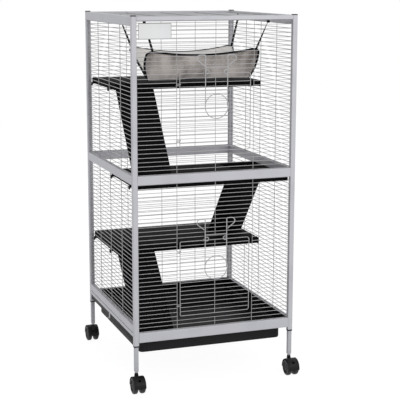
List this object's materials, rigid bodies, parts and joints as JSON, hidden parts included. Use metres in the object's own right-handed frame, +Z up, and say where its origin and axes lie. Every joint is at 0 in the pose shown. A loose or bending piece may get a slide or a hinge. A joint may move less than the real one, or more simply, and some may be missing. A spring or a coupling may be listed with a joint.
{
  "type": "pet cage",
  "caption": "Tall wire-mesh pet cage on casters with a square-tube frame, hinged wire doors, shelves, ramps, a slung hammock and a pull-out floor tray.",
  "frame": {"origin": "on the floor under the middle of the cage", "axes": "+Z up, -Y towards the front with the doors, the tray pulls out to -X"},
  "size_m": [0.5372, 0.606, 1.1185],
  "materials": {
    "frame_grey": "satin",
    "wire_grey": "satin",
    "black_plastic": "matte",
    "wheel_black": "satin",
    "label_white": "matte",
    "grey_fabric": "matte",
    "black_webbing": "matte",
    "dark_steel": "satin"
  },
  "bodies": {
    "frame": {"lower_post_front_left": "frame_grey", "lower_post_front_right": "frame_grey", "lower_post_back_left": "frame_grey", "lower_post_back_right": "frame_grey", "upper_post_front_left": "frame_grey", "upper_post_front_right": "frame_grey", "upper_post_back_left": "frame_grey", "upper_post_back_right": "frame_grey", "post_joiners": "frame_grey", "post_caps": "black_plastic", "top_rails_front_back": "frame_grey", "top_rails_sides": "frame_grey", "middle_rails_front_back": "frame_grey", "middle_rails_sides": "frame_grey", "bottom_rail_front": "frame_grey", "bottom_rail_back": "frame_grey", "bottom_rail_left": "frame_grey", "bottom_rail_right": "frame_grey", "post_collars": "black_plastic", "legs": "frame_grey", "stem_bushes": "wire_grey", "mesh_roof": "wire_grey", "mesh_back_lower": "wire_grey", "mesh_back_upper": "wire_grey", "mesh_left_lower": "wire_grey", "mesh_left_upper": "wire_grey", "mesh_right_lower": "wire_grey", "mesh_right_upper": "wire_grey", "mesh_front_lower": "wire_grey", "mesh_front_upper": "wire_grey", "door_hinge_clips": "wire_grey", "label_plate": "label_white", "shelf_upper": "black_plastic", "shelf_middle": "black_plastic", "shelf_lower": "black_plastic", "shelf_hooks": "black_plastic", "ramp_upper": "black_plastic", "ramp_middle": "black_plastic", "ramp_lower": "black_plastic", "tray_runners": "black_plastic", "hammock": "grey_fabric", "hammock_straps": "black_webbing", "strap_hooks": "dark_steel"},
    "door_upper": {"door_upper": "wire_grey"},
    "door_lower": {"door_lower": "wire_grey"},
    "latch_upper": {"latch_upper": "wire_grey"},
    "latch_lower": {"latch_lower": "wire_grey"},
    "tray": {"tray": "black_plastic", "tray_front_strip": "frame_grey", "tray_pull": "wire_grey"},
    "caster_front_left": {"caster_front_left": "black_plastic"},
    "wheels_front_left": {"wheels_front_left": "wheel_black"},
    "caster_front_right": {"caster_front_right": "black_plastic"},
    "wheels_front_right": {"wheels_front_right": "wheel_black"},
    "caster_back_left": {"caster_back_left": "black_plastic"},
    "wheels_back_left": {"wheels_back_left": "wheel_black"},
    "caster_back_right": {"caster_back_right": "black_plastic"},
    "wheels_back_right": {"wheels_back_right": "wheel_black"}
  },
  "joints": [
    {"name": "door_upper_hinge", "type": "hinge", "parent": "frame", "child": "door_upper", "pos_m": [-0.11075, -0.259, 0.8358], "axis": [0, 0, -1], "range_deg": [0, 110]},
    {"name": "latch_upper_tilt", "type": "hinge", "parent": "door_upper", "child": "latch_upper", "pos_m": [0, -0.259, 0.9501], "axis": [-1, 0, 0], "range_deg": [0, 5]},
    {"name": "door_lower_hinge", "type": "hinge", "parent": "frame", "child": "door_lower", "pos_m": [-0.11075, -0.259, 0.33657], "axis": [0, 0, -1], "range_deg": [0, 110]},
    {"name": "latch_lower_tilt", "type": "hinge", "parent": "door_lower", "child": "latch_lower", "pos_m": [0, -0.259, 0.451], "axis": [-1, 0, 0], "range_deg": [0, 5]},
    {"name": "tray_slide", "type": "slide", "parent": "frame", "child": "tray", "axis": [-1, 0, 0], "range_m": [0, 0.4]},
    {"name": "swivel_front_left", "type": "hinge", "parent": "frame", "child": "caster_front_left", "pos_m": [-0.25, -0.259, 0.076], "axis": [0, 0, 1], "continuous": true},
    {"name": "spin_front_left", "type": "hinge", "parent": "caster_front_left", "child": "wheels_front_left", "pos_m": [-0.25, -0.275, 0.025], "axis": [1, 0, 0], "continuous": true},
    {"name": "swivel_front_right", "type": "hinge", "parent": "frame", "child": "caster_front_right", "pos_m": [0.25, -0.259, 0.076], "axis": [0, 0, 1], "continuous": true},
    {"name": "spin_front_right", "type": "hinge", "parent": "caster_front_right", "child": "wheels_front_right", "pos_m": [0.25, -0.275, 0.025], "axis": [1, 0, 0], "continuous": true},
    {"name": "swivel_back_left", "type": "hinge", "parent": "frame", "child": "caster_back_left", "pos_m": [-0.25, 0.259, 0.076], "axis": [0, 0, 1], "continuous": true},
    {"name": "spin_back_left", "type": "hinge", "parent": "caster_back_left", "child": "wheels_back_left", "pos_m": [-0.25, 0.275, 0.025], "axis": [1, 0, 0], "continuous": true},
    {"name": "swivel_back_right", "type": "hinge", "parent": "frame", "child": "caster_back_right", "pos_m": [0.25, 0.259, 0.076], "axis": [0, 0, 1], "continuous": true},
    {"name": "spin_back_right", "type": "hinge", "parent": "caster_back_right", "child": "wheels_back_right", "pos_m": [0.25, 0.275, 0.025], "axis": [1, 0, 0], "continuous": true}
  ]
}
